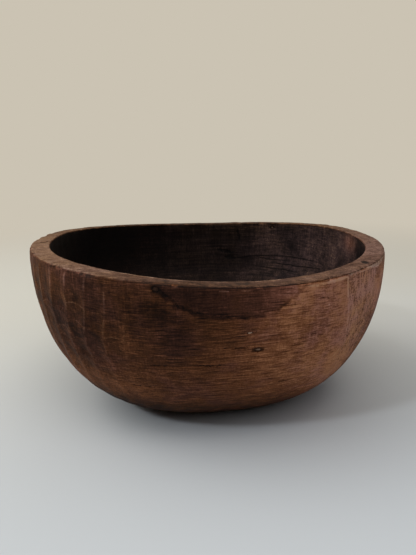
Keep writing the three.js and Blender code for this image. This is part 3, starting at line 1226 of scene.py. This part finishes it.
def outer_value(place, noises, marks):
    """Where the outer wood and the rim lie on their colour ramps."""
    value = calc("ADD", marks["tone"], OUTER_MIDDLE)
    for name, (gain, shares) in OUTER_NOISES.items():
        value = centred(noises[name], add_shares(gain, marks, shares), value)
    lengthwise = soft_step(marks["end_grain"], 0.1, 0.75, 1.0, 0.45)
    lengthwise = add_share(lengthwise, marks["worn"], -0.3)
    for name, (gain, shares) in LENGTHWISE_NOISES.items():
        gain = times(lengthwise, add_shares(gain, marks, shares))
        value = centred(noises[name], gain, value)
    gain, shares = SCRAPING
    patchy = broken(place, 32.0, 0.38, 0.62, detail=2.0)
    gain = times(patchy, add_shares(gain, marks, shares))
    value = centred(noises["scrapes"], gain, value)
    chip_tone = soft_step(noise(place, 230.0, 2.0), 0.40, 0.60, *CHIP_TONES)
    value = add_share(value, marks["chips"], chip_tone)
    return add_shares(value, marks, OUTER_MARKS)


def inner_value(noises, marks):
    """Where the dark wood inside lies on its colour ramp: its stain, with painted shade."""
    value = calc("ADD", marks["tone"], INNER_MIDDLE)
    for name, gain in INNER_NOISES.items():
        value = centred(noises[name], gain, value)
    return add_shares(value, marks, INNER_MARKS)


def wood_tint(noises, marks):
    change, shares = HUE_CHANGE
    hue = calc("ADD", marks["warmth"], HUE_MIDDLE)
    hue = centred(noises["hues"], add_shares(change, marks, shares), hue)
    hue = centred(noises["streaks"], HUE_STREAKS, hue)
    hue = add_shares(hue, marks, HUE_MARKS)
    return blend(soft_step(hue, 0.0, 1.0), COOL_TINT, WARM_TINT)


def surface(tree, shader, colour, roughness, height, bump_strength, bump_depth):
    bump = put("Bump", {"Strength": bump_strength, "Distance": bump_depth, "Height": height})
    tree.links.new(colour, shader.inputs["Base Color"])
    tree.links.new(roughness, shader.inputs["Roughness"])
    tree.links.new(bump.outputs[0], shader.inputs["Normal"])
    shader.inputs["Specular IOR Level"].default_value = WOOD_GLOSS


def bowl_wood():
    material, tree, shader = new_material("carved_wood_grain")
    place = put("TexCoord", tree=tree).outputs["Object"]
    grain = grain_place(place)
    noises = wood_noises(place, grain)
    marks = wood_marks(tree, place, grain)
    value = outer_value(place, noises, marks)
    # Ridges, flecks, the flat at the right end and the worn rim take the rim's paler colours: wear, with
    # painted highlights on the ridges and edges
    wear = times(larger(marks["ridges"], marks["flecks"]), WEAR_AND_HIGHLIGHT_SHARE)
    wear = larger(wear, times(marks["end_cut"], FLAT_RUBBED))
    wear = larger(wear, marks["worn"])
    colour = blend(wear, ramp(value, WOOD_STOPS), ramp(value, RIM_STOPS))
    stained_and_shaded = ramp(inner_value(noises, marks), STAINED_AND_SHADED_STOPS)
    colour = blend(marks["inside"], colour, stained_and_shaded)
    colour = blend(1.0, colour, wood_tint(noises, marks), "MULTIPLY")
    roughness = add_share(ROUGHNESS, noises["streaks"], ROUGHNESS_CHANGE)
    height = add_share(times(noises["fibres"], BUMP_FIBRES), noises["streaks"], BUMP_STREAKS)
    height = add_shares(height, marks, BUMP_MARKS)
    surface(tree, shader, colour, roughness, height, bump_strength=0.6, bump_depth=0.0006)
    return material


# Knot wood: where it lies on the rim's ramp, how far rings, specks and a pale core move it, and its rings
KNOT_TONE = 0.02
RING_TONE = 0.05
SPECK_TONE = 0.25
CORE_TONE = 0.9
RING_TURNS = 16.0


def knot_wood(centre, half_long, half_high, paleness):
    """Dark rings, with a core that is larger and paler in a pale knot."""
    material, tree, shader = new_material("knot_wood_rings")
    place = put("TexCoord", tree=tree).outputs["Object"]
    middle = tuple(float(part) for part in centre)
    away = scaled_distance(place, middle, (half_long, half_long, half_high))
    away = ragged(away, place, 0.8, 900.0)
    core = soft_step(away, 0.36 + 0.6 * paleness, 0.15 + 0.3 * paleness)
    rings = calc("SINE", times(away, RING_TURNS))
    value = add_share(KNOT_TONE, rings, RING_TONE)
    value = add_share(value, noise(place, 1500.0, 3.0), SPECK_TONE)
    value = add_share(value, core, CORE_TONE * paleness)
    roughness = add_share(0.45, value, 0.3)
    surface(tree, shader, ramp(value, RIM_STOPS), roughness, value, bump_strength=0.5, bump_depth=0.0003)
    return material


# Stage: a pale floor that fades into the backdrop far from the bowl

FLOOR_RADIUS = 9.0
FLOOR_SIDES = 64
FADE_START = 0.45
FADE_END = 1.7
FLOOR_SLANT = -0.2
FLOOR_CHANGE = (-0.35, 0.4)
FLOOR_FRONT = shade(202, 206, 210)
FLOOR_BACK = shade(208, 204, 194)
BACKDROP = shade(203, 195, 179)
WORLD_COLOUR = (1.0, 0.98, 0.95, 1.0)
WORLD_STRENGTH = 0.01


def seen_directly(tree):
    """Rays from the camera, straight or by way of gloss or glass, which see a plain backdrop."""
    path = put("LightPath", tree=tree)
    looked = larger(path.outputs["Is Camera Ray"], path.outputs["Is Glossy Ray"])
    return larger(looked, path.outputs["Is Transmission Ray"])


def build_floor():
    turns = np.arange(FLOOR_SIDES) * TURN / FLOOR_SIDES
    verts = [(FLOOR_RADIUS * math.cos(turn), FLOOR_RADIUS * math.sin(turn), 0.0) for turn in turns]
    floor = new_object("floor", verts, [range(FLOOR_SIDES)], smooth=False)
    floor.data.materials.append(floor_paper())
    return floor


def floor_paper():
    material, tree, shader = new_material("floor_paper")
    place = put("TexCoord", tree=tree).outputs["Object"]
    split = put("SeparateXYZ", {0: place})
    depth = calc("MULTIPLY_ADD", split.outputs["X"], FLOOR_SLANT, split.outputs["Y"])
    colour = blend(soft_step(depth, *FLOOR_CHANGE), FLOOR_FRONT, FLOOR_BACK)
    tree.links.new(colour, shader.inputs["Base Color"])
    shader.inputs["Roughness"].default_value = 0.9
    shader.inputs["Specular IOR Level"].default_value = 0.1
    fade = soft_step(length(place), FADE_START, FADE_END)
    fade = times(fade, seen_directly(tree))
    backdrop = put("Emission", {"Color": BACKDROP}, tree)
    both = put("MixShader", {0: fade, 1: shader.outputs[0], 2: backdrop.outputs[0]})
    tree.links.new(both.outputs[0], tree.nodes["Material Output"].inputs["Surface"])
    return material


# Lights: name, bearing, elevation, size, power and colour, all at one distance from the bowl
LIGHT_DISTANCE = 3.2
LIGHT_TARGET = Vector((0, 0, 0.08))
LIGHTS = (
    ("sky", 180, 45, 2.6, 36.5, (0.94, 0.98, 1.0)),
    ("top", 90, 85, 4.5, 62, (1.0, 0.99, 0.92)),
    ("front", 300, 50, 2.7, 24.5, (1.0, 0.97, 1.0)),
    ("back", 150, 40, 2.5, 18.8, (1.0, 0.955, 0.86)),
    ("left", 208, 38.7, 0.35, 19.5, (0.84, 0.92, 1.0)),
)


def add_light(name, bearing, elevation, size, power, colour):
    lamp = bpy.data.lights.new(name, "AREA")
    lamp.shape = "DISK"
    lamp.size = size
    lamp.energy = power
    lamp.color = colour
    turn, rise = math.radians(bearing), math.radians(elevation)
    towards = Vector((math.cos(turn) * math.cos(rise), math.sin(turn) * math.cos(rise), math.sin(rise)))
    light = bpy.data.objects.new(name, lamp)
    light.location = LIGHT_TARGET + LIGHT_DISTANCE * towards
    light.rotation_mode = "QUATERNION"
    light.rotation_quaternion = towards.to_track_quat("Z", "Y")
    bpy.context.collection.objects.link(light)


def add_world():
    world = bpy.data.worlds.new("studio")
    bpy.context.scene.world = world
    world.use_nodes = True
    tree = world.node_tree
    backing = tree.nodes["Background"]
    backing.inputs["Color"].default_value = WORLD_COLOUR
    backing.inputs["Strength"].default_value = WORLD_STRENGTH
    seen = put("Background", {"Color": BACKDROP}, tree)
    both = put("MixShader", {0: seen_directly(tree), 1: backing.outputs[0], 2: seen.outputs[0]})
    tree.links.new(both.outputs[0], tree.nodes["World Output"].inputs["Surface"])


def add_camera():
    yaw, pitch, roll = (math.radians(part) for part in (CAMERA_YAW, CAMERA_PITCH, CAMERA_ROLL))
    ahead = Vector((math.sin(yaw) * math.cos(pitch), math.cos(yaw) * math.cos(pitch), -math.sin(pitch)))
    level = Vector((math.cos(yaw), -math.sin(yaw), 0))
    upright = level.cross(ahead)
    right = level * math.cos(roll) + upright * math.sin(roll)
    up = upright * math.cos(roll) - level * math.sin(roll)
    bearing = math.radians(CAMERA_BEARING)
    place = Vector((CAMERA_DISTANCE * math.cos(bearing), CAMERA_DISTANCE * math.sin(bearing), CAMERA_HEIGHT))
    lens = bpy.data.cameras.new("camera")
    lens.sensor_width = SENSOR
    lens.lens = SENSOR * FOCAL_PIXELS / PICTURE_HEIGHT
    lens.clip_start = NEAREST_SEEN
    camera = bpy.data.objects.new("camera", lens)
    turn = Matrix((right, up, -ahead)).transposed()
    camera.matrix_world = Matrix.Translation(place) @ turn.to_4x4()
    bpy.context.collection.objects.link(camera)
    bpy.context.scene.camera = camera


# Put it all together

bowl = build_bowl()
bowl.data.materials.append(bowl_wood())
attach(bowl, "root")
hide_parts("bowl")

for number, (node, skin, bearing, below, half_long, half_high, slant, paleness) in enumerate(KNOTS):
    knot = build_knot(node, skin, bearing, below, half_long, half_high, slant, SEEDS["knots"] + 10 * number)
    knot.data.materials.append(knot_wood(place_on(skin, bearing, below), half_long, half_high, paleness))
    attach(knot, "root")
    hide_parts(node)

build_floor()
add_world()
for light in LIGHTS:
    add_light(*light)
add_camera()
bpy.context.scene.view_settings.view_transform = "Standard"
